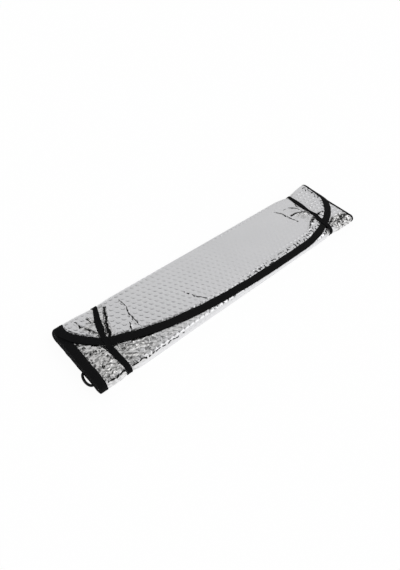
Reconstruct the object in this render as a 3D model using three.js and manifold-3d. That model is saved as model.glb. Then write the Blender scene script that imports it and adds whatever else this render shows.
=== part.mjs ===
// Windscreen sunshade, rolled flat into a pack and held by two elastic straps.
// Millimetres. X runs along the pack, Y from the near side to the far side, Z up from the table.
// The shade is one sheet of metallised bubble foil, bound all round with folded tape.
import * as THREE from 'three';
import { mergeVertices } from 'three/addons/utils/BufferGeometryUtils.js';
import Module from 'manifold-3d';

// Overall sizes of the rolled pack
const PACK_LENGTH = 620;
const PANEL_STRAIGHT = 116;
const PANEL_COUNT = 10;
const INNER_END_SHORT = 6;

// The sheet: bubbles stand over most of it, and the tape presses the rim flat
const BUBBLE_THICKNESS = 1.5;
const RIM_THICKNESS = 0.6;

// The binding tape, folded over the rim
const TAPE_THICKNESS = 0.25;
const TAPE_WIDTH = 13.5;

// Clearances
const TAPE_CLEARANCE = 0.3;
const LAYER_GAP = 0.3;
const STRAP_CLEARANCE = 0.3;
const LOOP_CLEARANCE = 0.3;

// The loose end of the sheet: how far it folds down over the near side, and its two rounded corners
const FLAP_PAST_FOLD = 8.5;
const LEFT_CORNER_REACH = 420;
const LEFT_CORNER_DEPTH = 145;
const LEFT_CORNER_POWER = 2.53;
const RIGHT_CORNER_REACH = 159;
const RIGHT_CORNER_DEPTH = 83;
const RIGHT_CORNER_POWER = 1.84;

// The elastic straps: how far in from the pack's end each crosses the near side and the far side
const STRAP_WIDTH = 11;
const STRAP_THICKNESS = 1;
const STRAP_STEP_RUN = 5;
const STRAP_RIM_GAP = 0.8;
const LEFT_STRAP_NEAR_IN = 52;
const LEFT_STRAP_FAR_IN = 76;
const LEFT_STRAP_POWER = 2.6;
const RIGHT_STRAP_NEAR_IN = 70.5;
const RIGHT_STRAP_FAR_IN = 64;
const RIGHT_STRAP_POWER = 1;

// The cord loop sewn into the left end
const LOOP_DIAMETER = 4.2;
const LOOP_FROM_NEAR_SIDE = 23;
const LOOP_SPAN = 24;
const LOOP_REACH = 6.5;
const LOOP_HEIGHT = 5;

// Facets
const ARC_STEPS = 10;
const FLAP_STEPS = 16;
const CORNER_POINTS = 48;
const STRAP_STEPS = 8;
const LOOP_SIDES = 8;
const LOOP_STEPS = 14;

const wasm = await Module();
wasm.setup();

// Layer spacing and the two fold centres of the flat spiral
const tapeHalf = RIM_THICKNESS / 2 + TAPE_CLEARANCE + TAPE_THICKNESS;
const layerHalf = Math.max(tapeHalf, BUBBLE_THICKNESS / 2);
const pitch = 2 * layerHalf + LAYER_GAP;
const level = (k) => pitch * (PANEL_COUNT / 2 - 0.25 - k / 2);
const foldRadius = (k) => level(k) - pitch / 4;
const foldHeight = pitch / 4;
const nearCentre = -(PANEL_STRAIGHT + foldRadius(0) - foldRadius(1)) / 2;
const farCentre = nearCentre + PANEL_STRAIGHT;
const flapLength = FLAP_PAST_FOLD + PANEL_STRAIGHT;
const tableDrop = level(1) + layerHalf + STRAP_CLEARANCE + STRAP_THICKNESS;

// Insets from the rim of the shade
const POCKET_INSET = TAPE_THICKNESS;
const RIM_INSET = TAPE_THICKNESS + TAPE_CLEARANCE;
const BUBBLE_INSET = TAPE_WIDTH + TAPE_CLEARANCE;

// The line that the rolled sheet follows, from its loose end inwards.
// A row has the run s along the sheet, the place y, z and the outward normal ny, nz.
function rolledRows() {
  const rows = [];
  const put = (s, y, z, ny, nz) => rows.push({ s, y, z, ny, nz });
  const flapRuns = [TAPE_THICKNESS, RIM_INSET, TAPE_WIDTH, BUBBLE_INSET, FLAP_PAST_FOLD];
  for (let i = 0; i <= FLAP_STEPS; i++) flapRuns.push(flapLength * (i / FLAP_STEPS) ** 1.8);
  flapRuns.sort((a, b) => a - b);
  const startRadius = foldRadius(0) + pitch / 2;
  let last = -1;
  for (const s of flapRuns) {
    if (s - last < 0.02) continue;
    last = s;
    if (s < FLAP_PAST_FOLD) {
      const a = (FLAP_PAST_FOLD - s) / startRadius;
      const y = nearCentre - startRadius * Math.sin(a);
      put(s, y, startRadius * Math.cos(a) - foldHeight, -Math.sin(a), Math.cos(a));
    } else {
      put(s, nearCentre + s - FLAP_PAST_FOLD, level(0), 0, 1);
    }
  }
  let run = flapLength;
  for (let k = 0; k < PANEL_COUNT - 1; k++) {
    const far = k % 2 === 0;
    const radius = foldRadius(k);
    const sign = far ? 1 : -1;
    const centre = far ? farCentre : nearCentre;
    for (let i = 1; i <= ARC_STEPS; i++) {
      const a = (Math.PI * i) / ARC_STEPS;
      const ny = sign * Math.sin(a);
      const nz = sign * Math.cos(a);
      const z = sign * foldHeight + radius * nz;
      put(run + (radius * Math.PI * i) / ARC_STEPS, centre + radius * ny, z, ny, nz);
    }
    run += radius * Math.PI;
    const side = -sign;
    const stop = k === PANEL_COUNT - 2 ? INNER_END_SHORT : 0;
    if (stop > 0) {
      for (const inset of [BUBBLE_INSET, TAPE_WIDTH, RIM_INSET, POCKET_INSET]) {
        const part = PANEL_STRAIGHT - stop - inset;
        put(run + part, centre + side * part, side * level(k + 1), 0, side);
      }
    }
    run += PANEL_STRAIGHT - stop;
    put(run, centre + side * (PANEL_STRAIGHT - stop), side * level(k + 1), 0, side);
  }
  return rows;
}

// One rounded corner of the loose end, moved in by an inset: points [x from the end, run s]
function cornerLine(reach, depth, power, inset) {
  const edge = [];
  for (let i = 0; i <= CORNER_POINTS; i++) {
    const a = (Math.PI / 2) * (i / CORNER_POINTS);
    const u = Math.sin(a) ** (2 / power);
    const v = Math.cos(a) ** (2 / power);
    edge.push(new THREE.Vector2(reach * (1 - u), depth * (1 - v)));
  }
  return edge.map((point, i) => {
    const along = edge[Math.min(i + 1, CORNER_POINTS)].clone().sub(edge[Math.max(i - 1, 0)]).normalize();
    if (i === 0) along.set(-1, 0);
    if (i === CORNER_POINTS) along.set(0, 1);
    return new THREE.Vector2(point.x + along.y * inset, point.y - along.x * inset);
  });
}

// How far the rim lies in from the pack's end at run s
function rimAt(line, s, inset) {
  if (s >= line[line.length - 1].y) return inset;
  for (let i = 1; i < line.length; i++) {
    if (s <= line[i].y) {
      const share = (s - line[i - 1].y) / Math.max(line[i].y - line[i - 1].y, 1e-6);
      return THREE.MathUtils.lerp(line[i - 1].x, line[i].x, THREE.MathUtils.clamp(share, 0, 1));
    }
  }
  return inset;
}

const rows = rolledRows();
const totalRun = rows[rows.length - 1].s;

function weld(geometry) {
  geometry.deleteAttribute('normal');
  geometry.deleteAttribute('uv');
  return mergeVertices(geometry, 1e-4);
}

function toSolid(geometry) {
  const vertProperties = new Float32Array(geometry.attributes.position.array);
  const triVerts = new Uint32Array(geometry.index.array);
  return new wasm.Manifold(new wasm.Mesh({ numProp: 3, vertProperties, triVerts }));
}

function toGeometry(solid) {
  const mesh = solid.getMesh();
  const geometry = new THREE.BufferGeometry();
  geometry.setAttribute('position', new THREE.BufferAttribute(new Float32Array(mesh.vertProperties), 3));
  geometry.setIndex(new THREE.BufferAttribute(new Uint32Array(mesh.triVerts), 1));
  geometry.computeVertexNormals();
  return geometry;
}

// A plate of the shade's outline less the inset, rolled along the spiral
function rolledPlate(half, inset) {
  const left = cornerLine(LEFT_CORNER_REACH, LEFT_CORNER_DEPTH, LEFT_CORNER_POWER, inset);
  const right = cornerLine(RIGHT_CORNER_REACH, RIGHT_CORNER_DEPTH, RIGHT_CORNER_POWER, inset);
  const used = rows.filter((row) => row.s > inset - 1e-6 && row.s < totalRun - inset + 1e-6);
  const steps = used.length - 1;
  const geometry = new THREE.BoxGeometry(1, 1, 1, 1, steps, 1);
  const place = geometry.attributes.position;
  for (let i = 0; i < place.count; i++) {
    const row = used[Math.round((place.getY(i) + 0.5) * steps)];
    const out = place.getZ(i) > 0 ? half : -half;
    const rim = place.getX(i) > 0 ? right : left;
    const x = PACK_LENGTH / 2 - rimAt(rim, row.s, inset);
    place.setXYZ(i, place.getX(i) > 0 ? x : -x, row.y + out * row.ny, row.z + out * row.nz);
  }
  return toSolid(weld(geometry));
}

function addPiece(name, geometry, color, roughness, metalness) {
  const material = new THREE.MeshStandardMaterial({ color, roughness, metalness });
  const mesh = new THREE.Mesh(geometry, material);
  mesh.name = name;
  group.add(mesh);
}

const group = new THREE.Group();
group.position.z = tableDrop;

// The foil sheet: full thickness inside the tape, thin where the tape grips it
const foil = rolledPlate(BUBBLE_THICKNESS / 2, BUBBLE_INSET).add(rolledPlate(RIM_THICKNESS / 2, RIM_INSET));
addPiece('foil_sheet', toGeometry(foil), 0xc5c4c8, 0.3, 0.9);

// The binding: a folded tape round the whole rim, with the rim of the sheet in its fold
const tape = rolledPlate(tapeHalf, 0)
  .subtract(rolledPlate(layerHalf + LAYER_GAP / 3, TAPE_WIDTH))
  .subtract(rolledPlate(tapeHalf - TAPE_THICKNESS, POCKET_INSET));
addPiece('edge_binding', toGeometry(tape), 0x121213, 0.8, 0);

// Where the rim of the loose end crosses a strap, as a place along Y
function flapEdgeAt(x) {
  const leftSide = x < 0;
  const line = leftSide
    ? cornerLine(LEFT_CORNER_REACH, LEFT_CORNER_DEPTH, LEFT_CORNER_POWER, 0)
    : cornerLine(RIGHT_CORNER_REACH, RIGHT_CORNER_DEPTH, RIGHT_CORNER_POWER, 0);
  const fromEnd = PACK_LENGTH / 2 - Math.abs(x);
  let run = 0;
  for (const point of line) if (point.x >= fromEnd) run = point.y;
  return nearCentre + run - FLAP_PAST_FOLD;
}

// The way round the pack that a strap's inner face takes, as rows y, z, ny, nz
function strapRows(xNear, xFar, power) {
  const out = layerHalf + STRAP_CLEARANCE;
  const high = level(0) + out;
  const low = level(2) + out;
  const bottom = level(1) + out;
  const span = farCentre - nearCentre;
  const shift = (y) => {
    const share = THREE.MathUtils.clamp((y - nearCentre) / span, 0, 1);
    return THREE.MathUtils.lerp(xNear, xFar, share ** power);
  };
  let edge = farCentre;
  for (const x of [xNear, shift(0)]) {
    for (const side of [-1, 1]) edge = Math.min(edge, flapEdgeAt(x + (side * STRAP_WIDTH) / 2));
  }
  const stepTop = Math.max(edge - STRAP_RIM_GAP, nearCentre + 1.2 * STRAP_STEP_RUN);
  const path = [];
  const put = (y, z, ny, nz) => path.push({ x: shift(y), y, z, ny, nz });
  for (let i = 0; i < STRAP_STEPS; i++) {
    const y = THREE.MathUtils.lerp(farCentre, stepTop, i / STRAP_STEPS);
    put(y, high, 0, 1);
  }
  put(stepTop, high, 0, 1);
  put(stepTop - STRAP_STEP_RUN, low, 0, 1);
  for (let i = 0; i <= ARC_STEPS; i++) {
    const a = (Math.PI * i) / ARC_STEPS;
    const radius = foldRadius(1) + out;
    put(nearCentre - radius * Math.sin(a), radius * Math.cos(a) - foldHeight, -Math.sin(a), Math.cos(a));
  }
  for (let i = 1; i < STRAP_STEPS; i++) {
    put(THREE.MathUtils.lerp(nearCentre, farCentre, i / STRAP_STEPS), -bottom, 0, -1);
  }
  for (let i = 0; i < ARC_STEPS; i++) {
    const a = (Math.PI * i) / ARC_STEPS;
    const radius = foldRadius(0) + out;
    put(farCentre + radius * Math.sin(a), foldHeight - radius * Math.cos(a), Math.sin(a), -Math.cos(a));
  }
  return path;
}

// A closed band of flat section, made by fitting a square-sectioned ring to the rows
function strapGeometry(path) {
  const count = path.length;
  const corners = [[1, 0], [-1, 0], [-1, 1], [1, 1]];
  const geometry = new THREE.TorusGeometry(2, 1, 4, count);
  const place = geometry.attributes.position;
  for (let i = 0; i < place.count; i++) {
    const row = path[(i % (count + 1)) % count];
    const [side, out] = corners[Math.floor(i / (count + 1)) % 4];
    const rise = out * STRAP_THICKNESS;
    place.setXYZ(i, row.x + (side * STRAP_WIDTH) / 2, row.y + rise * row.ny, row.z + rise * row.nz);
  }
  return weld(geometry);
}

function addStrap(name, xNear, xFar, power) {
  const solid = toSolid(strapGeometry(strapRows(xNear, xFar, power)));
  addPiece(name, toGeometry(solid), 0x141415, 0.85, 0);
}

const packEnd = PACK_LENGTH / 2;
const [leftNear, leftFar] = [LEFT_STRAP_NEAR_IN - packEnd, LEFT_STRAP_FAR_IN - packEnd];
const [rightNear, rightFar] = [packEnd - RIGHT_STRAP_NEAR_IN, packEnd - RIGHT_STRAP_FAR_IN];
addStrap('elastic_strap_left', leftNear, leftFar, LEFT_STRAP_POWER);
addStrap('elastic_strap_right', rightNear, rightFar, RIGHT_STRAP_POWER);

// The hanging loop: a bow of cord whose two ends meet the bound edge square on, at the left end
const loopX = -PACK_LENGTH / 2 - LOOP_CLEARANCE;
const loopZ = LOOP_HEIGHT - tableDrop;
const loopPull = loopX - LOOP_REACH / 0.75;
const loopNear = nearCentre - foldRadius(1) - layerHalf + LOOP_FROM_NEAR_SIDE;
const loopFar = loopNear + LOOP_SPAN;
const loopPath = new THREE.CubicBezierCurve3(
  new THREE.Vector3(loopX, loopFar, loopZ),
  new THREE.Vector3(loopPull, loopFar, loopZ),
  new THREE.Vector3(loopPull, loopNear, loopZ),
  new THREE.Vector3(loopX, loopNear, loopZ),
);
const loopSection = new THREE.Shape();
for (let i = 0; i < LOOP_SIDES; i++) {
  const a = (2 * Math.PI * i) / LOOP_SIDES;
  const px = (LOOP_DIAMETER / 2) * Math.cos(a);
  const py = (LOOP_DIAMETER / 2) * Math.sin(a);
  if (i === 0) loopSection.moveTo(px, py);
  else loopSection.lineTo(px, py);
}
loopSection.closePath();
const loopGeometry = new THREE.ExtrudeGeometry(loopSection, { steps: LOOP_STEPS, extrudePath: loopPath });
addPiece('hanging_loop', toGeometry(toSolid(weld(loopGeometry))), 0x0f0f10, 0.7, 0);

export default group;
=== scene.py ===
# %% [markdown]
# # A windscreen sunshade, rolled flat
#
# The real shade is one sheet of bubble foil with a black tape sewn round its rim.
# It is rolled flat, panel over panel, and two elastic straps keep it shut.
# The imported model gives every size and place. This lesson adds the looks:
# bubbles, creases, woven tape, ribbed elastic, thread, cord, light and camera.

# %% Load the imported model
import math
import bpy
import numpy as np
from mathutils import Matrix, Vector


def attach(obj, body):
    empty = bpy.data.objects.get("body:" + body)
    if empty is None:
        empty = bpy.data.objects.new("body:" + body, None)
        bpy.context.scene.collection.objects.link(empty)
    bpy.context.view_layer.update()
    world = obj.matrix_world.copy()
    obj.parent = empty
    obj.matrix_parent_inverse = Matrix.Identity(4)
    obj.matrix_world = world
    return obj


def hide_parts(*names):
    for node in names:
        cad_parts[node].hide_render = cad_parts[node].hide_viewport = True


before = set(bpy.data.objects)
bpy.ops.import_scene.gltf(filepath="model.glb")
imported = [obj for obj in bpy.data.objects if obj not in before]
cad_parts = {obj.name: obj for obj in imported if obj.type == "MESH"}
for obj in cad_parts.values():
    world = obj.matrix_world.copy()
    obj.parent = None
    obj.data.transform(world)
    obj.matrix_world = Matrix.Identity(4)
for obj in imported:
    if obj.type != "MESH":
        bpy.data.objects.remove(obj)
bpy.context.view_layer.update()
bpy.ops.object.select_all(action="DESELECT")
print("packed nodes", sorted(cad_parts))

# %% [markdown]
# ## Sizes
#
# All lengths are in millimetres until a mesh is made. They repeat the packed
# model's own values, so each new piece lands on the piece that it dresses.
# Each rounded corner is given by its reach along the pack, its depth and its power.

# %% Sizes of the rolled sheet
MM = 0.001
HALF_LENGTH = 310.0
STRAIGHT = 116.0
PANELS = 10
LAYER_HALF = 0.85
PITCH = 2.0
FLAP_DROP = 8.5
TAPE_WIDTH = 13.5
STRAP_THICK = 1.3
LEFT_CORNER = (420.0, 145.0, 2.53)
RIGHT_CORNER = (159.0, 83.0, 1.84)
INNER_SHORT = 6.0


def panel_level(k):
    return PITCH * (PANELS / 2 - 0.25 - k / 2)


def fold_radius(k):
    return panel_level(k) - PITCH / 4


NEAR_FOLD = -(STRAIGHT + fold_radius(0) - fold_radius(1)) / 2
FAR_FOLD = NEAR_FOLD + STRAIGHT
FLAP_END = FLAP_DROP + STRAIGHT
TABLE = panel_level(1) + LAYER_HALF + STRAP_THICK
RUNS = [FLAP_END]
for k in range(PANELS - 1):
    RUNS.append(RUNS[-1] + math.pi * fold_radius(k))
    RUNS.append(RUNS[-1] + STRAIGHT)
FAR_FOLD_END, UNDER_END, WRAP_START = RUNS[1:4]
TOTAL_RUN = RUNS[-1] - INNER_SHORT
print("unrolled sheet, mm:", round(TOTAL_RUN), "x", round(2 * HALF_LENGTH))

# %% [markdown]
# ## The rolled line
#
# A flat roll seen from its end is a row of straight panels joined by half
# turns, each half turn a little smaller than the last. Any point of the sheet
# is then named by x, along the pack, and s, the run from the loose end. The
# loose end's panel comes first, then the far fold, the underside, the near
# fold, and the wrap that shows below the loose end.
# Building in x and s lets bubbles and creases follow the sheet round its folds.


# %% From the run along the sheet to a place on the roll
def rolled(s):
    s = np.asarray(s, float)
    start = fold_radius(0) + PITCH / 2
    a = np.clip(FLAP_DROP - s, 0, None) / start
    flat = np.clip(s - FLAP_DROP, 0, None)
    y = NEAR_FOLD + flat - start * np.sin(a)
    z = start * np.cos(a) - PITCH / 4
    ny, nz = -np.sin(a), np.cos(a)
    for k in range(PANELS - 1):
        sign = 1 if k % 2 == 0 else -1
        centre = FAR_FOLD if k % 2 == 0 else NEAR_FOLD
        radius = fold_radius(k)
        turn = np.clip((s - RUNS[2 * k]) / radius, 0, math.pi)
        past = np.clip(s - RUNS[2 * k + 1], 0, None)
        here = s >= RUNS[2 * k]
        ay, az = sign * np.sin(turn), sign * np.cos(turn)
        y = np.where(here, centre + radius * ay - sign * past, y)
        z = np.where(here, sign * PITCH / 4 + radius * az, z)
        ny, nz = np.where(here, ay, ny), np.where(here, az, nz)
    return y, z, ny, nz


print("fold lines at y, mm:", NEAR_FOLD, FAR_FOLD)

# %% [markdown]
# ## The rim of the loose end
#
# The loose end is cut with two large rounded corners of different size. Each is
# a quarter of a superellipse, the rounded shape between an ellipse and a box.
# The same line, moved inwards, gives the foil's rim and the tape's inner edge.


# %% The two rounded corners
def corner(shape, inset, count=60):
    reach, depth, power = shape
    a = np.linspace(0, math.pi / 2, count)
    line = np.stack([reach * (1 - np.sin(a) ** (2 / power)),
                     depth * (1 - np.cos(a) ** (2 / power))], axis=1)
    along = np.gradient(line, axis=0)
    along /= np.linalg.norm(along, axis=1)[:, None]
    along[0], along[-1] = (-1, 0), (0, 1)
    return line + inset * np.stack([along[:, 1], -along[:, 0]], axis=1)


def rim_x(s, inset):
    left, right = corner(LEFT_CORNER, inset), corner(RIGHT_CORNER, inset)
    return (-HALF_LENGTH + np.interp(s, left[:, 1], left[:, 0]),
            HALF_LENGTH - np.interp(s, right[:, 1], right[:, 0]))


def rim_distance(x, s):
    left = corner(LEFT_CORNER, 0) + (-HALF_LENGTH, 0)
    right = corner(RIGHT_CORNER, 0) * (-1, 1) + (HALF_LENGTH, 0)
    near = np.concatenate([left[::-1], right])
    best = np.minimum(HALF_LENGTH - np.abs(x), TOTAL_RUN - s)
    best = np.minimum(best, s)
    for p, q in zip(near[:-1], near[1:]):
        d = q - p
        t = np.clip(((x - p[0]) * d[0] + (s - p[1]) * d[1]) / max(d @ d, 1e-9), 0, 1)
        best = np.minimum(best, np.hypot(x - p[0] - t * d[0], s - p[1] - t * d[1]))
    return best


def flap_edge_y(x):
    left, right = corner(LEFT_CORNER, 0), corner(RIGHT_CORNER, 0)
    run = np.where(x < 0, np.interp(-x, HALF_LENGTH - left[:, 0], left[:, 1]),
                   np.interp(x, HALF_LENGTH - right[:, 0], right[:, 1]))
    return NEAR_FOLD + run - FLAP_DROP


print("straight front rim, mm:", [round(float(x)) for x in rim_x(0, 0)])

# %% [markdown]
# ## How the pack has settled
#
# Elastic bites into a soft pack: the top dips under each strap and the two long
# sides draw in. The far right corner flares, the far left one is rounded by the
# thick stack of tape, and the right end is pressed down. One function bends all
# the pieces together, so tape and straps stay seated. The numbers given to
# bell and smooth are places and widths along the pack or across it.

# %% Where the straps cross: places y across the pack, then the strap's middle x
STRAPS = {
    "elastic_strap_left": ([-63, -45, -19, 3, 34, 61],
                           [-258, -258, -259, -256.5, -246, -234]),
    "elastic_strap_right": ([-69, -55, -40, -29, -13, 4, 26, 54, 68],
                            [237, 240, 240, 241, 246, 245, 246, 247, 249]),
}


def strap_x(name, y):
    ys, xs = STRAPS[name]
    return np.interp(y, ys, xs)


def smooth(a, b, t):
    t = np.clip((t - a) / (b - a), 0, 1)
    return t * t * (3 - 2 * t)


def bell(t, width):
    return np.exp(-(t / width) ** 2)


print("straps at the middle, mm:", [float(strap_x(name, 0)) for name in STRAPS])

# %% The bend that all the pieces share
BITE_LEFT = 1.8
BITE_RIGHT = 2.0
FLARE_OUT = 2.5
FLARE_UP = 1.5
END_PRESS = 1.5
CORNER_SLIDE = 7.0
FLAP_PINCH = 3.5


def settle(x, y, z):
    base = -panel_level(1) - LAYER_HALF
    up = np.clip((z - base) / (panel_level(0) + LAYER_HALF - base), 0, 1.3)
    left = bell(x - strap_x("elastic_strap_left", y), 15)
    right = bell(x - strap_x("elastic_strap_right", y), 15)
    far, near = np.clip(y / 60, 0, 1.2) ** 2, np.clip(-y / 60, 0, 1.2) ** 2
    flare = smooth(262, 310, x)
    # The far side: flared at its right end, drawn in at both straps
    y2 = y + far * (FLARE_OUT * flare - 4 * bell(x - 245, 20) - 1.5 * bell(x + 237, 20))
    # The near side is drawn in at both straps
    y2 = y2 + near * (3.0 * bell(x - 238, 14) + 2.6 * bell(x + 258, 13))
    # The left strap drags the loose end's rim with it
    y2 = y2 - FLAP_PINCH * up * bell(x + 253, 13) * bell(y + 8, 15)
    # Left of the middle the near side swells a little
    y2 = y2 - near * (0.7 * smooth(-120, -200, x) - 0.5 * smooth(-262, -290, x))
    # The far left corner slides in, most at the top
    x = x + (CORNER_SLIDE * up - 0.8) * smooth(-262, -290, x) * smooth(42, 68, y) ** 2
    # The top dips under the straps and at the right end, and rises at the flare
    end = np.clip((x - 303) / 7, 0, 1)
    z2 = z - up * (BITE_LEFT * left + BITE_RIGHT * right) + up * far * FLARE_UP * flare
    z2 = z2 - up * END_PRESS * end ** 1.5
    return x, y2, z2


def place(x, s, n):
    y, z, ny, nz = rolled(s)
    x, y, z = settle(x, y + n * ny, z + n * nz)
    return np.stack([x, y, z + TABLE], axis=-1) * MM


print("top of the pack, mm:", round(float(place(0.0, 60.0, LAYER_HALF)[2]) * 1000, 1))

# %% [markdown]
# ## Small helpers for meshes
#
# The tape, the thread and the straps are profiles carried along a line, so one
# helper joins rings of points into a closed skin. Another stores x and s as a
# flat map, so that patterns follow the sheet.


# %% Mesh helpers
def make_piece(name, points, faces):
    mesh = bpy.data.meshes.new(name)
    mesh.from_pydata([tuple(p) for p in points], [], faces)
    mesh.validate()
    piece = bpy.data.objects.new(name, mesh)
    bpy.context.collection.objects.link(piece)
    mesh.polygons.foreach_set("use_smooth", [True] * len(mesh.polygons))
    return piece


def ring_faces(rings, size, closed, offset=0):
    faces = []
    for i in range(rings if closed else rings - 1):
        a, b = offset + i * size, offset + ((i + 1) % rings) * size
        for j in range(size):
            k = (j + 1) % size
            faces.append((a + j, a + k, b + k, b + j))
    if not closed:
        faces.append(tuple(offset + j for j in reversed(range(size))))
        faces.append(tuple(offset + (rings - 1) * size + j for j in range(size)))
    return faces


def set_map(piece, u, v):
    layer = piece.data.uv_layers.new(name="sheet_map")
    loops = np.zeros(len(piece.data.loops), np.int32)
    piece.data.loops.foreach_get("vertex_index", loops)
    pairs = np.stack([u[loops], v[loops]], axis=1).astype(np.float32)
    layer.data.foreach_set("uv", pairs.ravel())


print("faces of a closed band of 3 rings of 4 points:", len(ring_faces(3, 4, True)))

# %% [markdown]
# ## The foil's relief
#
# Bubble foil has round bubbles in a triangular lattice, 10.65 mm apart. Where
# the sheet is gripped it crumples into small flat facets with sharp ridges.
# Sums of folded waves give those facets, and the bold creases are listed one by one,
# each as a line with a width and a height.


# %% Bubbles and crumple
BUBBLE_PITCH = 10.65
ROW_TURN = math.radians(1.8)


def lattice_distance(x, s):
    u = (x * math.cos(ROW_TURN) - s * math.sin(ROW_TURN)) / BUBBLE_PITCH
    v = (x * math.sin(ROW_TURN) + s * math.cos(ROW_TURN)) / (BUBBLE_PITCH * math.sqrt(3))
    best = 9.0
    for shift in (0.0, 0.5):
        du = u + shift - np.round(u + shift)
        dv = (v + shift - np.round(v + shift)) * math.sqrt(3)
        best = np.minimum(best, np.hypot(du, dv))
    return best * BUBBLE_PITCH


def folded(t):
    return 4 * np.abs(t - np.floor(t + 0.5)) - 1


def crumple(x, s, size, seed):
    rng = np.random.default_rng(seed)
    wx = x + size * 0.5 * np.sin(s / (size * 1.3) + rng.uniform(0, 6))
    ws = s + size * 0.5 * np.sin(x / (size * 1.1) + rng.uniform(0, 6))
    total = 0
    for i in range(6):
        a, wave = rng.uniform(0, math.pi), size * rng.uniform(0.8, 2.0)
        t = (wx * math.cos(a) + ws * math.sin(a)) / wave + rng.uniform(0, 1)
        total = total + folded(t) * wave / size
    return total / 5


print("farthest from any bubble's middle, mm:", round(BUBBLE_PITCH / math.sqrt(3), 2))

# %% Creases on the loose end, x y x y width height, then those on the wrap below it
TOP_CREASES = [
    (-222, 51, -234, 28, 4.5, 1.8), (-234, 28, -247, 1, 5, 2.2), (-249, 4, -242, -8, 4, 1.5),
    (-195, 49, -194, 31, 2, 0.5), (-194, 31, -199, 17, 2.4, 0.7), (-199, 17, -200, -11, 2.6, 0.9),
    (-209, 0, -217, -15, 3, 1.1), (-275, 55, -273, 39, 3, 1.1), (-273, 39, -265, 24, 5, 1.8),
    (-255, 53.6, -251, 29.6, 3, 1), (-265, 25.6, -257, 7.7, 3, 1.2), (-237, 43.6, -245, 17.6, 2.5, 0.9),
    (201, 13, 214, 12, 3, 1.1), (214, 12, 227, 7, 3, 1.2), (220, 32, 232, 17, 2.2, 0.8),
    (183, 42, 190, 28, 1.8, 0.5), (190, 28, 192, 15, 1.8, 0.6), (192, 15, 198, -7, 1.8, 0.5),
    (236, -18, 216, -26, 4.5, 1.6), (216, -26, 199, -34, 4, 1.4), (254, -15, 267, -24, 4, 1.6),
    (229, 1.7, 241, 5.7, 3.5, 1.3), (231, -6.3, 242, -0.3, 3, 1.1), (255, 7.7, 269, 15.7, 2.5, 0.8),
]
WRAP_CREASES = [
    (-246, -30.4, -213, -42.4, 3.5, 1.6), (-243, -36.4, -205, -51.4, 3, 1.4),
    (-249, -42.4, -225, -59.4, 3.5, 1.6), (-239, -28.4, -195, -38.4, 2.5, 1),
    (-294, -62.3, -265, -63.9, 3, 0.6), (-251, -63, -205, -65, 3, 0.6),
    (-269, -34.4, -291, -52.4, 3.5, 1.3), (-267, -46.4, -285, -60.4, 3, 1.4),
    (-273, -22.4, -289, -34.4, 3, 1), (251, -50.4, 269, -42.4, 3.5, 1.6),
    (251, -54.4, 281, -56.4, 3.5, 1.6), (269, -42.4, 301, -56.4, 3, 1.2),
    (237, -60.4, 215, -64.3, 3.5, 1.5), (237, -54.4, 223, -61.4, 3, 1.3),
]


def creases(x, y, lines):
    total = np.zeros_like(x)
    for x0, y0, x1, y1, width, height in lines:
        dx, dy = x1 - x0, y1 - y0
        t = ((x - x0) * dx + (y - y0) * dy) / (dx * dx + dy * dy)
        c = np.clip(t, 0, 1)
        away = np.hypot(x - x0 - c * dx, y - y0 - c * dy)
        ends = np.clip(1.15 - np.abs(2 * c - 1) ** 3, 0, 1)
        total = np.maximum(total, height * ends * np.clip(1 - away / width, 0, 1))
    return total


print("creases laid by hand", len(TOP_CREASES) + len(WRAP_CREASES))

# %% [markdown]
# ## Where the foil is crushed, and where its bubbles show
#
# Two fields over the sheet steer both the mesh and the material. The first is
# high at the straps, at the bold creases and on the wrap at both ends. The
# second says how tall the bubbles look, and past 1 it marks the strained film
# beside the tape, where the shade of the bubbles is painted as small dark dots.


# %% The two fields
def crushed(x, s):
    y = rolled(s)[0]
    lines = np.where(s < FLAP_END, creases(x, y, TOP_CREASES), 0)
    lines = lines + np.where(s > WRAP_START - 8, creases(x, y, WRAP_CREASES), 0)
    left = x - strap_x("elastic_strap_left", y)
    right = x - strap_x("elastic_strap_right", y)
    flap = 0.75 * bell(left + 3, 24) * (1 - 0.3 * smooth(30, 60, y))
    flap = flap + 0.6 * bell(x - 222, 20) * bell(y - 3, 24)
    flap = flap + 0.4 * bell(right, 12)
    below = smooth(-70, -190, x) * (0.52 + 0.38 * smooth(-228, -262, x))
    below = below + 0.75 * smooth(236, 252, x) * smooth(-34, -46, y)
    turn = 0.05 + 0.5 * smooth(-190, -260, x) + 0.7 * smooth(232, 262, x)
    under = 0.1 + 0.5 * bell(left, 18) + 0.5 * bell(right, 18) + 0.3 * smooth(250, 300, np.abs(x))
    found = np.where(s < WRAP_START, turn, below)
    found = np.where(s < FLAP_END, flap, np.where(s < UNDER_END, under, found))
    return np.clip(found + 0.45 * lines, 0, 1)


def bubbled(x, s):
    y = rolled(s)[0]
    flap = 0.42 + 0.23 * smooth(90, -180, x) * smooth(66, 16, y) + 0.5 * smooth(250, 268, x)
    strained = TAPE_WIDTH + 9 + 13 * smooth(-40, 90, x) * smooth(262, 215, x)
    rim = 1 - smooth(TAPE_WIDTH, strained, rim_distance(x, s))
    flap = flap + (0.9 + 0.6 * smooth(-40, 80, x)) * rim
    sliver = 0.6 * smooth(-140, -40, x) * bell(y + 60, 4)
    sliver = sliver + 0.7 * smooth(256, 268, x) * smooth(-38, -46, y)
    rest = 1.0 + np.where(s > UNDER_END, sliver, 0)
    return np.clip(np.where(s < FLAP_END, flap, rest), 0, 1.7)


print("crushed beside the left strap", round(float(crushed(-250.0, 70.0)), 2))


# %% The tape's reach over the foil, and the foil's height
FACET_HEIGHT = 1.3
BUBBLE_HEIGHT = 0.13
BUBBLE_RADIUS = 4.7
TOP_CREASE_LIFT = 1.3


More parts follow.
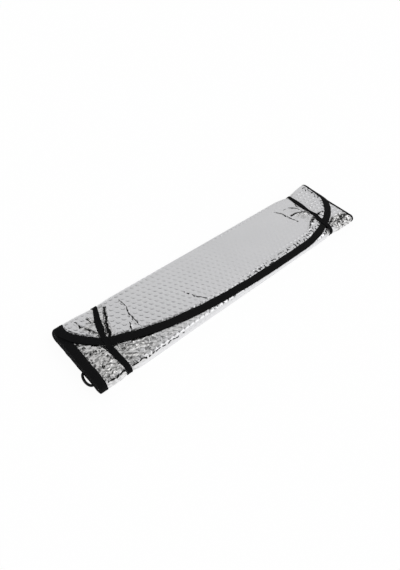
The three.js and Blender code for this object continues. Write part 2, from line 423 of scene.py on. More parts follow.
def tape_reach(x, s):
    narrow = 1.6 * smooth(-282, -300, x) * bell(s - WRAP_START + 6, 14)
    return TAPE_WIDTH + 0.4 - 8.2 * smooth(276, 298, x) * smooth(48, 118, s) - narrow


def relief(x, s):
    y = rolled(s)[0]
    hidden = 1 - smooth(1.0, 5.0, flap_edge_y(x) - y)
    top, wrap = s < FLAP_END, s >= WRAP_START
    by_left = x - strap_x("elastic_strap_left", y)
    by_right = x - strap_x("elastic_strap_right", y)
    facets = 0.6 * crumple(x, s, 12, 4) + 0.4 * crumple(x, s, 6, 9)
    height = FACET_HEIGHT * crushed(x, s) * np.clip(facets + 0.3, 0, None)
    height = height + np.where(top, TOP_CREASE_LIFT * creases(x, y, TOP_CREASES), 0)
    height = height + np.where(s >= WRAP_START - 8, creases(x, y, WRAP_CREASES), 0)
    gripped = smooth(5.5, 9.5, np.abs(by_left)) * smooth(5.5, 9.5, np.abs(by_right))
    bubble = BUBBLE_HEIGHT * np.clip(1 - (lattice_distance(x, s) / BUBBLE_RADIUS) ** 2, 0, 1)
    height = height * gripped * np.where(wrap, 1 - hidden, 1) + bubble * (0.4 + 0.6 * gripped)
    return np.where(wrap & (hidden > 0.99), 0.0, height)


print("foil's height in a bold crease, mm:", round(float(relief(-234.0, 97.0)), 2))

# %% [markdown]
# ## The foil sheet
#
# The whole sheet is one closed skin. Its outer face is a fine grid where it
# can be seen, from the loose end round to the wrap beneath it. The turns
# inside and the back of the film are a coarse grid, joined to the fine one.

# %% The grid's rows and points
COLUMNS = 432
COARSE = 48
FOIL_INSET = 0.55
FILM_HALF = 0.3
BODY_LIFT = 0.45
FINE_WRAP = 75
COARSE_WRAP = 85


def spread_rows(a, b, step):
    return np.linspace(a, b, max(2, int(round((b - a) / step)) + 1))[:-1]


# Rows lie closest where most is seen: at the rim, on both folds and on the wrap
fine_rows = np.concatenate([
    FOIL_INSET + 16 * np.linspace(0, 1, 14) ** 1.8, spread_rows(18, FLAP_END, 1.5),
    spread_rows(FLAP_END, FAR_FOLD_END, 1.7), spread_rows(FAR_FOLD_END, UNDER_END, 5.0),
    spread_rows(UNDER_END, WRAP_START, 1.3), spread_rows(WRAP_START, WRAP_START + FINE_WRAP, 1.6),
])
coarse_rows = [WRAP_START + COARSE_WRAP, RUNS[4]]
for k in range(4, 2 * (PANELS - 1)):
    steps = 8 if k % 2 == 0 else 2
    coarse_rows += list(np.linspace(RUNS[k], min(RUNS[k + 1], TOTAL_RUN), steps)[1:])
coarse_rows[-1] = TOTAL_RUN - FOIL_INSET
coarse_rows = np.array(coarse_rows)


def foil_grid(rows, columns, outward):
    left, right = rim_x(rows, FOIL_INSET)
    share = np.linspace(0, 1, columns + 1)
    x = left[:, None] + (right - left)[:, None] * share
    s = np.repeat(rows[:, None], columns + 1, axis=1)
    away = rim_distance(x, s)
    if outward:
        reach = tape_reach(x, s)
        n = FILM_HALF + smooth(reach, reach + 3.0, away) * (BODY_LIFT + relief(x, s))
    else:
        n = -FILM_HALF - smooth(TAPE_WIDTH, TAPE_WIDTH + 3.5, away) * BODY_LIFT
    return place(x, s, n), x, s


parts = [foil_grid(fine_rows, COLUMNS, True), foil_grid(fine_rows, COARSE, False),
         foil_grid(coarse_rows, COARSE, True), foil_grid(coarse_rows, COARSE, False)]
starts = np.cumsum([0] + [p[0][..., 0].size for p in parts])
last_fine = len(fine_rows) - 1
last_coarse = len(coarse_rows) - 1
print("rows, fine and coarse:", len(fine_rows), len(coarse_rows))


# %% Join the points: the fine outside, then its back and its two ends
def outer(r, c):
    return int(r * (COLUMNS + 1) + c)


def index(block, r, c):
    return int(starts[block] + r * (COARSE + 1) + c)


faces = []
for r in range(last_fine):
    for c in range(COLUMNS):
        faces.append((outer(r, c), outer(r, c + 1), outer(r + 1, c + 1), outer(r + 1, c)))
for r in range(last_fine):
    for c in range(COARSE):
        faces.append((index(1, r, c), index(1, r + 1, c), index(1, r + 1, c + 1), index(1, r, c + 1)))
    faces.append((outer(r, 0), outer(r + 1, 0), index(1, r + 1, 0), index(1, r, 0)))
    faces.append((outer(r, COLUMNS), index(1, r, COARSE), index(1, r + 1, COARSE), outer(r + 1, COLUMNS)))
print("fine faces", len(faces))

# %% Join the fine grid to the coarse turns inside
per_coarse = COLUMNS // COARSE
for j in range(COARSE):
    row = [outer(0, c) for c in range(j * per_coarse, (j + 1) * per_coarse + 1)]
    faces.append((row[0], index(1, 0, j), index(1, 0, j + 1), *reversed(row[1:])))
    row = [outer(last_fine, c) for c in range(j * per_coarse, (j + 1) * per_coarse + 1)]
    faces.append((*row, index(2, 0, j + 1), index(2, 0, j)))
    faces.append((index(1, last_fine, j), index(3, 0, j), index(3, 0, j + 1), index(1, last_fine, j + 1)))
    faces.append((index(2, last_coarse, j), index(2, last_coarse, j + 1),
                  index(3, last_coarse, j + 1), index(3, last_coarse, j)))
faces.append((outer(last_fine, 0), index(2, 0, 0), index(3, 0, 0), index(1, last_fine, 0)))
faces.append((outer(last_fine, COLUMNS), index(1, last_fine, COARSE),
              index(3, 0, COARSE), index(2, 0, COARSE)))
for r in range(last_coarse):
    for c in range(COARSE):
        faces.append((index(2, r, c), index(2, r, c + 1), index(2, r + 1, c + 1), index(2, r + 1, c)))
        faces.append((index(3, r, c), index(3, r + 1, c), index(3, r + 1, c + 1), index(3, r, c + 1)))
    faces.append((index(2, r, 0), index(2, r + 1, 0), index(3, r + 1, 0), index(3, r, 0)))
    faces.append((index(2, r, COARSE), index(3, r, COARSE), index(3, r + 1, COARSE), index(2, r + 1, COARSE)))
print("all faces", len(faces))

# %% Make the skin, with its map and its two painted fields
foil = make_piece("foil_sheet_skin", np.concatenate([p[0].reshape(-1, 3) for p in parts]), faces)
all_x = np.concatenate([p[1].ravel() for p in parts])
all_s = np.concatenate([p[2].ravel() for p in parts])
set_map(foil, all_x * MM, all_s * MM)
for name, field in (("crushed", crushed), ("bubbled", bubbled)):
    values = field(all_x, all_s).astype(np.float32)
    foil.data.attributes.new(name, "FLOAT", "POINT").data.foreach_set("value", values)
print("foil faces", len(foil.data.polygons))

# %% [markdown]
# ## The binding tape
#
# The tape is a flat ribbon folded over the rim, so its section is a narrow U.
# The section is carried once round the whole rim and closed on itself. Small
# waves in its width and height are the puckers that sewing leaves.

# %% The path round the rim: left side, left corner, front, right corner, right side, inner edge
turns = [spread_rows(0, 395, 2.5)]
for k in range(4, 2 * (PANELS - 1)):
    step = 3.5 if k % 2 == 0 else 25
    turns.append(spread_rows(RUNS[k], min(RUNS[k + 1], TOTAL_RUN), step))
step_runs = np.unique(np.concatenate(turns))
step_runs = step_runs[step_runs < TOTAL_RUN - 1]
left_line, right_line = corner(LEFT_CORNER, 0, 180), corner(RIGHT_CORNER, 0, 90)
left_side = step_runs[step_runs > LEFT_CORNER[1] + 1]
right_side = step_runs[step_runs > RIGHT_CORNER[1] + 1]
rim_path = np.concatenate([
    np.stack([np.full(len(left_side), -HALF_LENGTH), left_side], axis=1)[::-1],
    (left_line + (-HALF_LENGTH, 0))[::-1],
    np.stack([np.linspace(112, 149, 13), np.zeros(13)], axis=1),
    right_line * (-1, 1) + (HALF_LENGTH, 0),
    np.stack([np.full(len(right_side), HALF_LENGTH), right_side], axis=1),
    np.stack([np.linspace(HALF_LENGTH, -HALF_LENGTH, 42), np.full(42, TOTAL_RUN)], axis=1),
])
gap = np.linalg.norm(np.diff(rim_path, axis=0, append=rim_path[:1]), axis=1)
rim_path = rim_path[gap > 0.05]
ahead = np.roll(rim_path, -1, axis=0) - np.roll(rim_path, 1, axis=0)
ahead /= np.linalg.norm(ahead, axis=1)[:, None]
inward = np.stack([-ahead[:, 1], ahead[:, 0]], axis=1)
rim_run = np.cumsum(np.linalg.norm(np.diff(rim_path, axis=0, prepend=rim_path[:1]), axis=1))
print("rim length, mm:", round(float(rim_run[-1])), "points", len(rim_path))


# %% The tape's section, as reach from the rim and height over the film
def tape_ring(i):
    run = rim_run[i]
    wave = 0.5 * math.sin(run / 4.1) + 0.5 * math.sin(run / 2.3 + 1.7 * math.sin(run / 31))
    wide = float(tape_reach(*rim_path[i])) + 0.35 * math.sin(run / 9) + 0.25 * wave
    back = TAPE_WIDTH - 1.0
    puff = 0.10 * wave
    return [(wide, 0.72), (wide, 0.92), (wide - 1.2, 0.98 + puff), (wide * 0.6, 0.90 + puff),
            (2.2, 0.92 - puff), (1.0, 0.80), (0.1 - 0.3 * wave, 0.35), (0.1 - 0.3 * wave, -0.35),
            (1.0, -0.75), (3.0, -0.85), (back, -0.85), (back, -0.62), (1.2, -0.62), (0.7, 0), (1.2, 0.55)]


def carried(path, normal, runs, sections):
    x = np.array([p[0] + d * m[0] for p, m, ring in zip(path, normal, sections) for d, n in ring])
    s = np.array([p[1] + d * m[1] for p, m, ring in zip(path, normal, sections) for d, n in ring])
    n = np.array([n for ring in sections for d, n in ring])
    u = np.array([u for u, ring in zip(runs, sections) for d in ring])
    v = np.array([d for ring in sections for d, n in ring])
    return place(x, np.clip(s, 0, TOTAL_RUN), n), u * MM, v * MM


sections = [tape_ring(i) for i in range(len(rim_path))]
points, u, v = carried(rim_path, inward, rim_run, sections)
binding = make_piece("binding_tape", points, ring_faces(len(rim_path), len(sections[0]), True))
set_map(binding, u, v)
print("binding faces", len(binding.data.polygons))

# %% [markdown]
# ## The sewing
#
# One row of lockstitch holds the tape. Each stitch is a short thread that
# dips into the tape at both ends. One stitch is shaped, then laid all along
# the rim on the outward face, where the thread can be seen.

# %% Lay the stitches
STITCH = 2.9
STITCH_STEP = 4.0
THREAD = 0.22
FROM_TAPE_EDGE = 2.6
FIRST_STITCH = 2.0
SEAM_END = 5.0
SEEN_WRAP = 70.0
TAPE_TOP = 0.98
ARCH = ((0, -0.25), (0.15, 0.05), (0.5, 0.16), (0.85, 0.05), (1, -0.25))
SIDES = 6
stitch_points, stitch_faces = [], []
for stop in np.arange(FIRST_STITCH, rim_run[-1] - SEAM_END, STITCH_STEP):
    i = int(np.searchsorted(rim_run, stop))
    s_here = rim_path[i % len(rim_path)][1]
    if s_here > WRAP_START + SEEN_WRAP:
        continue
    rings = []
    for share, lift in ARCH:
        at = stop + share * STITCH
        px, ps = np.interp(at, rim_run, rim_path[:, 0]), np.interp(at, rim_run, rim_path[:, 1])
        mx, ms = np.interp(at, rim_run, inward[:, 0]), np.interp(at, rim_run, inward[:, 1])
        for turn in range(SIDES):
            angle = turn * 2 * math.pi / SIDES
            d = float(tape_reach(px, ps)) - FROM_TAPE_EDGE - THREAD * math.cos(angle)
            rings.append((px + d * mx, ps + d * ms, TAPE_TOP + lift + THREAD * math.sin(angle)))
    rings = np.array(rings)
    start = len(stitch_points) * len(rings)
    stitch_points.append(place(rings[:, 0], np.clip(rings[:, 1], 0, TOTAL_RUN), rings[:, 2]))
    stitch_faces += ring_faces(len(ARCH), SIDES, False, start)
sewing = make_piece("binding_sewing", np.concatenate(stitch_points), stitch_faces)
print("stitches", len(stitch_points))

# %% [markdown]
# ## The elastic straps
#
# Flat elastic is woven round rubber threads, so it has fine ribs along its
# length and its edges are a little thicker. Each strap follows the pack's
# outside, steps down off the loose end, and is a closed band. It is narrower
# where it is pulled tight over an edge.


# %% The line that a strap follows round the pack
GRIP_GAP = 0.35
STEP_DOWN = 5


def strap_line(name, count=12):
    out = LAYER_HALF + GRIP_GAP
    high, low, base = panel_level(0) + out, panel_level(2) + out, -panel_level(1) - out
    sides = [strap_x(name, y) + side for y in (-50, -20, 0) for side in (-6, 6)]
    edge = float(flap_edge_y(np.array(sides)).min())
    edge = max(edge - 0.8, NEAR_FOLD + 6)
    rows = [(y, high, 0, 1) for y in np.linspace(FAR_FOLD, edge, 34)]
    for t in (0.2, 0.4, 0.6, 0.8, 1.0):
        rows.append((edge - STEP_DOWN * t, high + (low - high) * smooth(0, 1, t), 0, 1))
    lower = np.linspace(edge - STEP_DOWN, NEAR_FOLD, 16)[1:-1]
    rows += [(y, low, 0, 1) for y in lower if y > NEAR_FOLD + 1]
    for i in range(count + 1):
        a, radius = math.pi * i / count, fold_radius(1) + out
        ny, nz = -math.sin(a), math.cos(a)
        rows.append((NEAR_FOLD + radius * ny, radius * nz - PITCH / 4, ny, nz))
    rows += [(y, base, 0, -1) for y in np.linspace(NEAR_FOLD, FAR_FOLD, 30)[1:-1]]
    for i in range(count):
        a, radius = math.pi * i / count, fold_radius(0) + out
        ny, nz = math.sin(a), -math.cos(a)
        rows.append((FAR_FOLD + radius * ny, PITCH / 4 + radius * nz, ny, nz))
    return np.array(rows)


print("strap rows", [len(strap_line(name)) for name in STRAPS])

# %% Build the straps
STRAP_WIDTH = 10.6
STRAP_LIFT = 0.02
SQUEEZES = (0.18, 0.42)
NEAR_SQUEEZE = 0.16
STRAP_BODY = 0.85
RIBS = 7
RIB_HEIGHT = 0.10
SELVEDGE = 0.12


def build_strap(name, width, squeeze):
    rows = strap_line(name)
    across = np.linspace(-1, 1, 25)
    ribs = [RIB_HEIGHT * math.cos(c * RIBS * math.pi) for c in across]
    top = [(c, STRAP_BODY + rib + SELVEDGE * bell(abs(c) - 0.93, 0.08)) for c, rib in zip(across, ribs)]
    ring = top + [(c, 0.0) for c in (1.0, 0.5, 0.0, -0.5, -1.0)]
    run = np.concatenate([[0], np.cumsum(np.hypot(np.diff(rows[:, 0]), np.diff(rows[:, 1])))])
    points, u, v = [], [], []
    for i, (y, z, ny, nz) in enumerate(rows):
        wide = width / 2 * (1 + 0.05 * math.sin(run[i] / 13) + 0.03 * math.sin(run[i] / 5.2))
        pulled = bell(y - 2, 16) + 0.9 * bell(y - 60, 20)
        wide *= 1 - squeeze * pulled * (nz > 0) - NEAR_SQUEEZE * smooth(-25, -42, y)
        for c, n in ring:
            x = strap_x(name, y) + c * wide
            points.append((x, y + n * ny, z + n * nz))
            u.append(run[i])
            v.append(c * wide)
    points = np.array(points)
    x, y, z = settle(points[:, 0], points[:, 1], points[:, 2])
    z = np.maximum(z + TABLE, STRAP_LIFT)
    points = np.stack([x, y, z], axis=1) * MM
    piece = make_piece(name + "_webbing", points, ring_faces(len(rows), len(ring), True))
    set_map(piece, np.array(u) * MM, np.array(v) * MM)
    print(piece.name, "faces", len(piece.data.polygons), "way round, mm", round(float(run[-1])))
    return piece


straps = {name: build_strap(name, STRAP_WIDTH, squeeze) for name, squeeze in zip(STRAPS, SQUEEZES)}

# %% [markdown]
# ## The hanging loop
#
# A bow of thin braided cord is caught in the seam at the left end. It is a
# limp cord with both ends held, so it leaves the seam square on and sinks to
# the table. A curve with a round bevel is the simplest true cord.

# %% Build the loop
LOOP_Z = 5.0
LOOP_SAG = 2.6
LOOP_ENDS = (-21.5, -47.0)
LOOP_OUT = 4.6
LOOP_D = 4.2
bow = []
for t in np.linspace(0, 1, 25):
    pull = 3 * t * (1 - t)
    x = -HALF_LENGTH + 0.6 - pull / 0.75 * (LOOP_OUT + 0.9)
    y = LOOP_ENDS[0] + (LOOP_ENDS[1] - LOOP_ENDS[0]) * (3 * t * t - 2 * t ** 3)
    bow.append(Vector((x, y, LOOP_Z - LOOP_SAG * math.sin(math.pi * t) ** 2)) * MM)
curve = bpy.data.curves.new("hanging_loop_cord", "CURVE")
curve.dimensions = "3D"
curve.bevel_depth = LOOP_D / 2 * MM
curve.bevel_resolution = 4
curve.use_fill_caps = True
spline = curve.splines.new("POLY")
spline.points.add(len(bow) - 1)
for point, co in zip(spline.points, bow):
    point.co = (*co, 1)
spline.use_smooth = True
loop = bpy.data.objects.new("hanging_loop_cord", curve)
bpy.context.collection.objects.link(loop)

# %% [markdown]
# ## Writing shader maths as plain expressions
#
# A small class wraps a socket, so that a + b or 1 - mask adds the Math node
# that does it. All other nodes come from one method, which takes the node's
# type, its settings and its inputs.


# %% A socket that can be added and multiplied
def math_node(tree, kind, *items):
    node = tree.nodes.new("ShaderNodeMath")
    node.operation = kind
    for slot, item in zip(node.inputs, items):
        if isinstance(item, Value):
            tree.links.new(item.socket, slot)
        else:
            slot.default_value = item
    return Value(tree, node.outputs[0])


class Value:
    def __init__(self, tree, socket):
        self.tree, self.socket = tree, socket

    def op(self, kind, *others): return math_node(self.tree, kind, self, *others)
    def __add__(self, o): return self.op("ADD", o)
    def __radd__(self, o): return self.op("ADD", o)
    def __sub__(self, o): return self.op("SUBTRACT", o)
    def __rsub__(self, o): return math_node(self.tree, "SUBTRACT", o, self)
    def __mul__(self, o): return self.op("MULTIPLY", o)
    def __rmul__(self, o): return self.op("MULTIPLY", o)
    def __truediv__(self, o): return self.op("DIVIDE", o)


print("signs that become Math nodes: + - * /")


# %% Nodes, and a material built from them
class Nodes:
    def __init__(self, tree):
        self.tree = tree

    def node(self, kind, settings=None, inputs=None, output=0):
        node = self.tree.nodes.new(kind)
        for key, value in (settings or {}).items():
            setattr(node, key, value)
        for key, value in (inputs or {}).items():
            self.feed(node.inputs[key], value)
        return Value(self.tree, node.outputs[output])

    def feed(self, socket, value):
        if isinstance(value, Value):
            self.tree.links.new(value.socket, socket)
        else:
            socket.default_value = value

    def vector(self, kind, a, b, output=0):
        return self.node("ShaderNodeVectorMath", {"operation": kind}, {0: a, 1: b}, output)

    def split(self, vector):
        parts = self.node("ShaderNodeSeparateXYZ", inputs={0: vector}).socket.node
        return [Value(self.tree, parts.outputs[i]) for i in range(3)]

    def blend(self, factor, a, b):
        return self.node("ShaderNodeMix", {"data_type": "RGBA"}, {0: factor, 6: a, 7: b}, output=2)

    def fade(self, value, low, high):
        return self.node("ShaderNodeMapRange", {"interpolation_type": "SMOOTHSTEP"},
                         {0: value, 1: low, 2: high, 3: 0.0, 4: 1.0})


class Finish(Nodes):
    def __init__(self, name):
        self.material = bpy.data.materials.new(name)
        self.material.use_nodes = True
        super().__init__(self.material.node_tree)
        self.shader = self.tree.nodes["Principled BSDF"]

    def sheet_map(self):
        uv = self.node("ShaderNodeUVMap", {"uv_map": "sheet_map"})
        return uv, *self.split(uv)[:2]

    def painted(self, name):
        return self.node("ShaderNodeAttribute", {"attribute_name": name}, output=2)

    def noise(self, uv, scale, detail, output=0):
        return self.node("ShaderNodeTexNoise", {"noise_dimensions": "2D"},
                         {"Vector": uv, "Scale": scale, "Detail": detail}, output)

    def stretched(self, uv, times, degrees):
        return self.node("ShaderNodeMapping", {"vector_type": "TEXTURE"},
                         {0: uv, "Rotation": (0, 0, math.radians(degrees)), "Scale": (times, 1, 1)})

    def bump(self, height):
        self.set(Normal=self.node("ShaderNodeBump", {}, {"Height": height, "Strength": 1.0, "Distance": 1.0}))

    def set(self, **sockets):
        for name, value in sockets.items():
            self.feed(self.shader.inputs[name.replace("_", " ")], value)


print("materials before the first finish:", len(bpy.data.materials))

# %% [markdown]
# ## Foil
#
# Metallised film is a soft mirror: metallic, fairly smooth, a little cloudy.
# The mesh has the swell and the creases. The material adds what is finer: the
# tight ring where film is welded round each bubble, and the small flat facets
# of crushed film. Each facet is one cell, leaning its own way. Along the sharpest
# folds, shade is painted black as broken lines, which sit on top of the creases
# in the mesh. Crushed film also gets painted dark specks of shade.


# %% Bubbles and leaning facets in the material
def lattice_value(u, v):
    c, s = math.cos(ROW_TURN), math.sin(ROW_TURN)
    a = (u * c - v * s) * (1000 / BUBBLE_PITCH)
    b = (u * s + v * c) * (1000 / (BUBBLE_PITCH * math.sqrt(3)))
    found = []
    for shift in (0.0, 0.5):
        da, db = a + shift, b + shift
        da = da - da.op("ROUND")
        db = (db - db.op("ROUND")) * math.sqrt(3)
        found.append((da * da + db * db).op("SQRT"))
    return found[0].op("MINIMUM", found[1]) * BUBBLE_PITCH


def leaning_facets(look, uv, scale, times, degrees):
    uv = look.stretched(uv, times, degrees)
    cells = look.node("ShaderNodeTexVoronoi", {"voronoi_dimensions": "2D"},
                      {"Vector": uv, "Scale": scale}).socket.node
    colour = Value(look.tree, cells.outputs["Color"])
    centre = Value(look.tree, cells.outputs["Position"])
    offset = look.vector("SUBTRACT", uv, centre)
    lean = look.vector("SUBTRACT", colour, (0.5, 0.5, 0.5))
    return look.vector("DOT_PRODUCT", offset, lean, output=1)


print("bubbles in a metre of a row:", round(1000 / BUBBLE_PITCH))

# %% Folds painted black as shade on the loose end, x y x y half-width brokenness, then those on the wrap
TOP_PAINTED_SHADE_LINES = [
    (-222, 51, -234, 28, 2.7, 0.45), (-234, 28, -247, 1, 2.7, 0.45), (-195, 49, -194, 31, 0.9, 0.6),
    (-194, 31, -199, 17, 1.0, 0.6), (-199, 17, -200, 6, 1.3, 0.5), (-200, 6, -200, -11, 1.0, 0.6),
    (-209, 0, -217, -15, 1.4, 0.5), (-275, 55, -273, 39, 1.3, 0.8), (-273, 39, -265, 24, 1.7, 1.2),
    (-258, 50, -255, 40, 1.1, 0.8), (-101, -5, -92, -24, 1.7, 2.2), (-92, -24, -82, -38, 1.8, 2.0),
    (201, 13, 214, 12, 2.3, 0.5), (214, 12, 227, 7, 2.0, 0.5), (202, 35, 220, 32, 0.9, 1.4),
    (220, 32, 232, 17, 1.1, 1.0), (183, 42, 190, 28, 1.3, 2.4), (190, 28, 192, 15, 1.4, 2.4),
    (192, 15, 198, -7, 1.6, 2.4), (236, -18, 216, -26, 3.0, 1.0), (216, -26, 199, -34, 2.0, 1.3),
    (252, -16, 266, -18, 2.6, 0.5), (237, 35, 237, 25, 2.4, 1.1), (231, 11, 233, 4, 2.2, 1.1),
]
WRAP_PAINTED_SHADE_LINES = [
    (-294, -62.3, -265, -63.9, 1.5, 0.6), (-251, -62.6, -228, -63.8, 1.2, 0.7),
    (-228, -63.8, -150, -64.5, 0.9, 1.6), (268, -58, 287, -49, 3.6, 1.5),
    (287, -49, 304, -55, 4.0, 1.5), (222, -63, 238, -55, 3.4, 1.4), (250, -50, 262, -44, 2.4, 1.2),
]
print("black folds", len(TOP_PAINTED_SHADE_LINES) + len(WRAP_PAINTED_SHADE_LINES))


# %% Lines in the material, measured from the sheet's own map
def segment_reach(look, where, x0, s0, x1, s1):
    start, span = Vector((x0, s0, 0)) / 1000, Vector((x1 - x0, s1 - s0, 0)) / 1000
    offset = look.vector("SUBTRACT", where, start)
    along = look.vector("DOT_PRODUCT", offset, span / span.length_squared, output=1)
    share = along.op("MAXIMUM", 0.0).op("MINIMUM", 1.0)
    foot = look.node("ShaderNodeVectorMath", {"operation": "SCALE"}, {0: span, "Scale": share})
    return look.vector("DISTANCE", offset, foot, output=1) * 1000


def joined(values, kind):
    best = values[0]
    for value in values[1:]:
        best = best.op(kind, value)
    return best


def crease_lines(look, where, lines):
    ridges = []
    for *ends, width, height in lines:
        ridge = (1 - segment_reach(look, where, *ends) / width).op("MAXIMUM", 0.0)
        ridges.append(ridge * (height / 1000))
    return joined(ridges, "MAXIMUM")


# Painted shade: near-black broken lines along the sharpest folds
def painted_shade_lines(look, where, breaks, lines):
    ways = []
    for *ends, half_width, broken in lines:
        ways.append(segment_reach(look, where, *ends) / half_width + breaks * broken)
    return 1 - look.fade(joined(ways, "MINIMUM"), 0.75, 1.15)


def on_sheet(top, wrap):
    found = []
    for lines, shift in ((top, FLAP_DROP - NEAR_FOLD), (wrap, WRAP_START - NEAR_FOLD)):
        found += [(x0, y0 + shift, x1, y1 + shift, *rest) for x0, y0, x1, y1, *rest in lines]
    return found


print("creases to draw", len(on_sheet(TOP_CREASES, WRAP_CREASES)))

# %% The foil's patterns
RING_DEPTH = 0.00034
WRINKLE_DEPTH = 0.00005
WELD_START, WELD_END = 3.4, 5.0
FOLD_WANDER = 0.005
# Facets in a metre, how many times as long as wide, and their turn in degrees
LARGE_FACETS = (135.0, 2.8, -22)
SMALL_FACETS = (260.0, 1.6, 35)
foil_look = Finish("metallised bubble foil")
uv, fu, fv = foil_look.sheet_map()
crush, bubbles = foil_look.painted("crushed"), foil_look.painted("bubbled")
ring = 1 - foil_look.fade(lattice_value(fu, fv), WELD_START, WELD_END)
wrinkle, cloud = foil_look.noise(uv, 260.0, 3.0), foil_look.noise(uv, 14.0, 2.0)
facets = leaning_facets(foil_look, uv, *LARGE_FACETS) * 0.55
facets = facets + leaning_facets(foil_look, uv, *SMALL_FACETS) * 0.2
shaken = foil_look.vector("SUBTRACT", foil_look.noise(uv, 90.0, 2.0, output=1), (0.5, 0.5, 0.5))
bent = foil_look.node("ShaderNodeVectorMath", {"operation": "MULTIPLY_ADD"},
                      {0: shaken, 1: (FOLD_WANDER, FOLD_WANDER, 0), 2: uv})
fold = crease_lines(foil_look, bent, on_sheet(TOP_CREASES, WRAP_CREASES))
sharp = foil_look.fade(fold, 0.0, 0.0004)
patchy = foil_look.fade(foil_look.noise(uv, 45.0, 1.0) * 0.6 + crush * 0.7, 0.42, 0.75) * crush
print("foil nodes so far", len(foil_look.tree.nodes))

# %% Painted shade: the black folds, dark specks and the dots beside the tape; then the finish
FILM_DULL, FILM_BRIGHT = (0.84, 0.84, 0.855, 1), (0.90, 0.90, 0.915, 1)
FILM_WARM, FILM_PAINTED_SHADE = (0.86, 0.84, 0.79, 1), (0.15, 0.15, 0.15, 1)
FOLD_PAINTED_SHADE = (0.012, 0.012, 0.012, 1)
# Painted shade: a mask of dark specks for the crushed film
shade_speck_mask = foil_look.fade(foil_look.noise(foil_look.stretched(bent, 2.4, -22), 300.0, 1.0), 0.46, 0.62)
breaks = foil_look.fade(foil_look.noise(uv, 190.0, 0.0), 0.45, 0.62)
# Painted shade along the folds, joined below by the painted dark dots
black = painted_shade_lines(foil_look, bent, breaks, on_sheet(TOP_PAINTED_SHADE_LINES, WRAP_PAINTED_SHADE_LINES))
dotted = foil_look.fade(bubbles, 1.05, 1.5)
# Painted shade: small dark dots on the strained bubbles beside the tape
dots = foil_look.fade(foil_look.noise(uv, 240.0, 0.0), 0.56, 0.64) * dotted
black = black.op("MAXIMUM", dots * 0.9)
swell = bubbles.op("MINIMUM", 1.0) * (1 - dotted * (1 - crush) * 0.65)
rings = ring * swell * (1 - crush * 0.5) * RING_DEPTH
foil_look.bump(rings + wrinkle * WRINKLE_DEPTH + facets * patchy + fold)
film = foil_look.blend(cloud, FILM_DULL, FILM_BRIGHT)
film = foil_look.blend(patchy * 0.4, film, FILM_WARM)
# Painted shade: the specks darken the crushed film's colour
film = foil_look.blend(patchy * shade_speck_mask * 0.75, film, FILM_PAINTED_SHADE)
rough = 0.20 + cloud * 0.08 - patchy.op("MAXIMUM", sharp) * 0.14 + black * 0.4
# The painted shade goes into the base colour as near black
foil_look.set(Base_Color=foil_look.blend(black, film, FOLD_PAINTED_SHADE), Metallic=1.0, Roughness=rough)
foil.data.materials.append(foil_look.material)
print("foil nodes", len(foil_look.tree.nodes))

# %% [markdown]
# ## Black textiles
#
# Tape, elastic and cord are all black yarn, told apart by their weave. The
# weave is a pair of crossed waves on the piece's own map, so it turns with
# the tape round the corners.


# %% The textile materials
def shade(colour, times):
    return (*(c * times for c in colour), 1)


def textile(name, base, along, across, depth, rough):
    look = Finish(name)
    uv, a, b = look.sheet_map()
    weave = (a * along).op("SINE") * (b * across).op("SINE")
    fuzz, wear = look.noise(uv, 900.0, 2.0), look.noise(uv, 30.0, 3.0)
    look.bump(weave * depth + fuzz * (depth * 1.2))
    look.set(Base_Color=look.blend(fuzz * 0.5 + wear * 0.5, shade(base, 0.6), shade(base, 1.6)),
             Roughness=rough + wear * 0.12, Specular_IOR_Level=0.12)
    return look.material


tape_look = textile("black woven tape", (0.0045, 0.0045, 0.005), 4200, 4200, 0.00006, 0.72)
elastic_look = textile("black ribbed elastic", (0.004, 0.004, 0.0045), 5200, 4000, 0.00007, 0.75)
binding.data.materials.append(tape_look)
for strap in straps.values():
    strap.data.materials.append(elastic_look)
print("textiles:", tape_look.name, "and", elastic_look.name)

# %% [markdown]
# ## Thread and cord
#
# Thread is twisted, so its sheen runs in slanted bands. The bands are bumped,
# and the sheen is also painted into the colour as lighter and darker stripes.
# The cord's braid is the same idea, larger. Both read Object coordinates, since they have no map.


# %% The thread and cord materials
def twisted(name, base, scale, depth):
    look = Finish(name)
    where = look.node("ShaderNodeTexCoord", output=3)
    bands = look.node("ShaderNodeTexWave", {"bands_direction": "DIAGONAL"},
                      {"Vector": where, "Scale": scale, "Distortion": 2.0, "Detail": 1.0})
    look.bump(bands * depth)
    # Painted sheen: the bands make the colour lighter and darker
    look.set(Base_Color=look.blend(bands, shade(base, 0.6), shade(base, 1.5)),
             Roughness=0.62, Specular_IOR_Level=0.2)
    return look.material


sewing.data.materials.append(twisted("black sewing thread", (0.014, 0.014, 0.015), 900, 0.00003))
loop.data.materials.append(twisted("black braided cord", (0.006, 0.006, 0.0065), 260, 0.00016))
print("materials", len(bpy.data.materials))

# %% [markdown]
# ## Who carries what
#
# Every piece rides on the one body and stands for the imported solid that it
# dresses.

# %% Tie the pieces to the imported model
for piece, node, slot in [
    (foil, "foil_sheet", "bubble_foil"), (binding, "edge_binding", "binding_tape"),
    (straps["elastic_strap_left"], "elastic_strap_left", "strap_elastic"),
    (straps["elastic_strap_right"], "elastic_strap_right", "strap_elastic"),
    (loop, "hanging_loop", "loop_cord"),
]:
    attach(piece, "root")
    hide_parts(node)
    print(piece.name, "stands for", node)
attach(sewing, "root")
round(TOTAL_RUN * MM, 3)

# %% [markdown]
# ## The floor
#
# The photo has a plain white ground. A white floor would light the pack from
# below too strongly, so it is a pale grey that only the camera and mirrors see
# as a white glow. A share of the grey stays, and keeps a faint shadow.

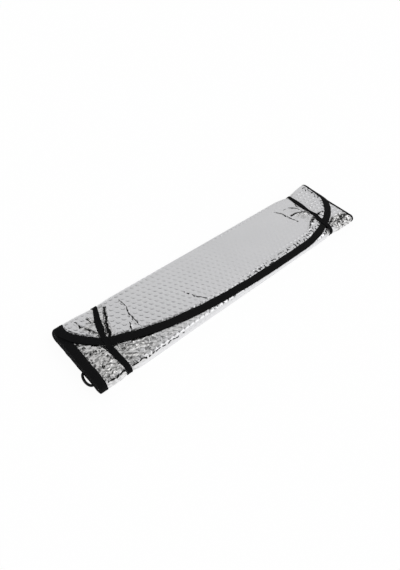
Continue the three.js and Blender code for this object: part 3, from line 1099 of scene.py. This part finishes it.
# %% The floor
FLOOR_SIZE = 12
FLOOR_GREY = (0.82, 0.82, 0.82, 1)
FLOOR_GLOW = 1.06
GLOW_IN_MIRRORS = 0.8
GLOW_IN_CAMERA = 0.88
bpy.ops.mesh.primitive_plane_add(size=FLOOR_SIZE, location=(0, 0, 0))
floor = bpy.context.object
floor.name = "floor"
floor_look = Finish("studio floor")
in_metal = floor_look.node("ShaderNodeLightPath", output="Is Glossy Ray")
in_glass = floor_look.node("ShaderNodeLightPath", output="Is Transmission Ray")
in_camera = floor_look.node("ShaderNodeLightPath", output="Is Camera Ray")
seen = in_metal.op("MAXIMUM", in_glass) * GLOW_IN_MIRRORS
seen = seen.op("MAXIMUM", in_camera * GLOW_IN_CAMERA)
floor_look.set(Base_Color=FLOOR_GREY, Roughness=1.0, Specular_IOR_Level=0.0)
glow = floor_look.node("ShaderNodeEmission", {}, {"Color": (1, 1, 1, 1), "Strength": FLOOR_GLOW})
lit = Value(floor_look.tree, floor_look.shader.outputs[0])
mix = floor_look.node("ShaderNodeMixShader", {}, {0: seen, 1: lit, 2: glow})
floor_look.feed(floor_look.tree.nodes["Material Output"].inputs[0], mix)
floor.data.materials.append(floor_look.material)
print("floor, m:", tuple(round(d, 2) for d in floor.dimensions))

# %% [markdown]
# ## The light
#
# A mirror shows its surroundings, so the light is what makes foil look right.
# The room is an even pale dome. High up it has a dark opening, which turns
# only the leaning sides of creases black. Beside it a brighter panel draws the
# white line along the near fold, and a paler front lights the near side. The
# camera itself sees plain white behind the pack.

# %% The room's light
DOME_LEVEL = 0.575
DOME_RISE = 0.07
OPENING_DARK = 0.985
PANEL_LEVEL = 0.57
FRONT_LEVEL = 0.22
world = bpy.data.worlds.new("studio")
bpy.context.scene.world = world
world.use_nodes = True
sky = Nodes(world.node_tree)
sx, sy, sz = sky.split(sky.node("ShaderNodeTexCoord"))


def patch(cx, cy, rx, ry):
    dx, dy = (sx - cx) / rx, (sy - cy) / ry
    return (1 - sky.fade(dx * dx + dy * dy, 0.7, 1.35)) * sky.fade(sz, 0.1, 0.3)


away_from_top = sx * sx + sy * sy
opening = (1 - sky.fade(away_from_top, 0.15, 0.21)) * sky.fade(away_from_top, 0.03, 0.06)
opening = opening.op("MAXIMUM", patch(-0.20, 0.36, 0.22, 0.22)) * sky.fade(sz, 0.1, 0.3)
panel = patch(0.62, -0.25, 0.38, 0.36) * sky.fade(sz, 0.3, 0.5)
front = sky.fade(0.0 - sy, 0.40, 0.66)
bright = (panel * PANEL_LEVEL).op("MAXIMUM", front * FRONT_LEVEL)
level = DOME_LEVEL + sky.fade(sz, 0.0, 0.4) * DOME_RISE
level = level * (1 - opening * OPENING_DARK) + bright * (1 - opening)
for_camera = sky.node("ShaderNodeLightPath", output="Is Camera Ray")
backdrop = world.node_tree.nodes["Background"]
sky.feed(backdrop.inputs["Color"], level + for_camera * (1 - level))
sky.feed(backdrop.inputs["Strength"], 1.0)
print("light nodes", len(world.node_tree.nodes))

# %% [markdown]
# ## The camera
#
# The bubbles stand in even rows, so their places in the photo say where the
# camera stood and which way it looked. The lens is given in the picture's
# own pixels, then turned into millimetres on the sensor.

# %% The camera
FOCAL_PIXELS = 463.476
PICTURE_PIXELS = 570
SENSOR_WIDTH = 36
CAMERA_AT = (-0.4596, -0.3709, 0.6020)
camera_data = bpy.data.cameras.new("camera")
camera_data.lens = FOCAL_PIXELS * SENSOR_WIDTH / PICTURE_PIXELS
camera_data.sensor_width = SENSOR_WIDTH
camera = bpy.data.objects.new("camera", camera_data)
bpy.context.collection.objects.link(camera)
right = Vector((0.73470433, -0.67428488, 0.07449463))
down = Vector((-0.46354751, -0.5791698, -0.67058635))
forward = Vector((0.49531128, 0.45815089, -0.73808163))
facing = Matrix((right, -down, -forward)).transposed().to_4x4()
camera.matrix_world = Matrix.Translation(CAMERA_AT) @ facing
bpy.context.scene.camera = camera
bpy.context.scene.view_settings.view_transform = "Standard"
print("lens, mm:", round(camera_data.lens, 2))
